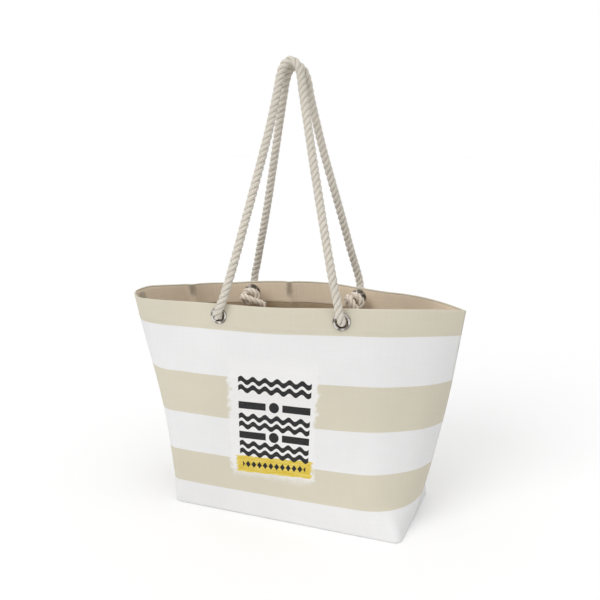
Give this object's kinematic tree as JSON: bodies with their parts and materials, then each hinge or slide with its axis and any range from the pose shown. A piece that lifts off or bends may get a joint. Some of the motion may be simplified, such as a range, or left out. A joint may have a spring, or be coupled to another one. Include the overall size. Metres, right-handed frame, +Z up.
{
  "type": "beach bag",
  "caption": "Striped canvas beach tote with an open mouth, a boxed base, metal eyelets and knotted rope handles held upright.",
  "frame": {"origin": "the floor under the middle of the bag's box, ropes left out", "axes": "+Z up, +X to the right along the mouth from side seam to side seam, -Y out of the front"},
  "size_m": [0.4798, 0.2122, 0.6321],
  "materials": {
    "striped_canvas": "plain weave canvas in broad beige and white stripes",
    "base_canvas": "plain weave canvas, white",
    "facing_canvas": "plain weave canvas, beige",
    "lining_cloth": "plain weave lining, sand brown",
    "seam_tape": "twill tape, beige",
    "nickel": "polished nickel plate",
    "cotton_rope": "laid cotton rope, natural off-white"
  },
  "bodies": {
    "bag": {"front_panel": "striped_canvas", "back_panel": "striped_canvas", "base_panel": "base_canvas", "front_facing": "facing_canvas", "back_facing": "facing_canvas", "front_lining": "lining_cloth", "back_lining": "lining_cloth", "base_lining": "lining_cloth", "left_seam_tape": "seam_tape", "right_seam_tape": "seam_tape", "base_seam_tape": "seam_tape", "front_left_eyelet": "nickel", "front_right_eyelet": "nickel", "back_left_eyelet": "nickel", "back_right_eyelet": "nickel", "front_left_washer": "nickel", "front_right_washer": "nickel", "back_left_washer": "nickel", "back_right_washer": "nickel", "front_left_knot": "cotton_rope", "front_right_knot": "cotton_rope", "back_left_knot": "cotton_rope", "back_right_knot": "cotton_rope"},
    "front_handle": {"front_rope": "cotton_rope"},
    "back_handle": {"back_rope": "cotton_rope"}
  },
  "joints": [
    {"name": "front_handle_swing", "type": "hinge", "parent": "bag", "child": "front_handle", "pos_m": [0, -0.0946, 0.296], "axis": [1, 0, 0], "range_deg": [0, 160]},
    {"name": "back_handle_swing", "type": "hinge", "parent": "bag", "child": "back_handle", "pos_m": [0, 0.092, 0.296], "axis": [-1, 0, 0], "range_deg": [0, 160]}
  ]
}
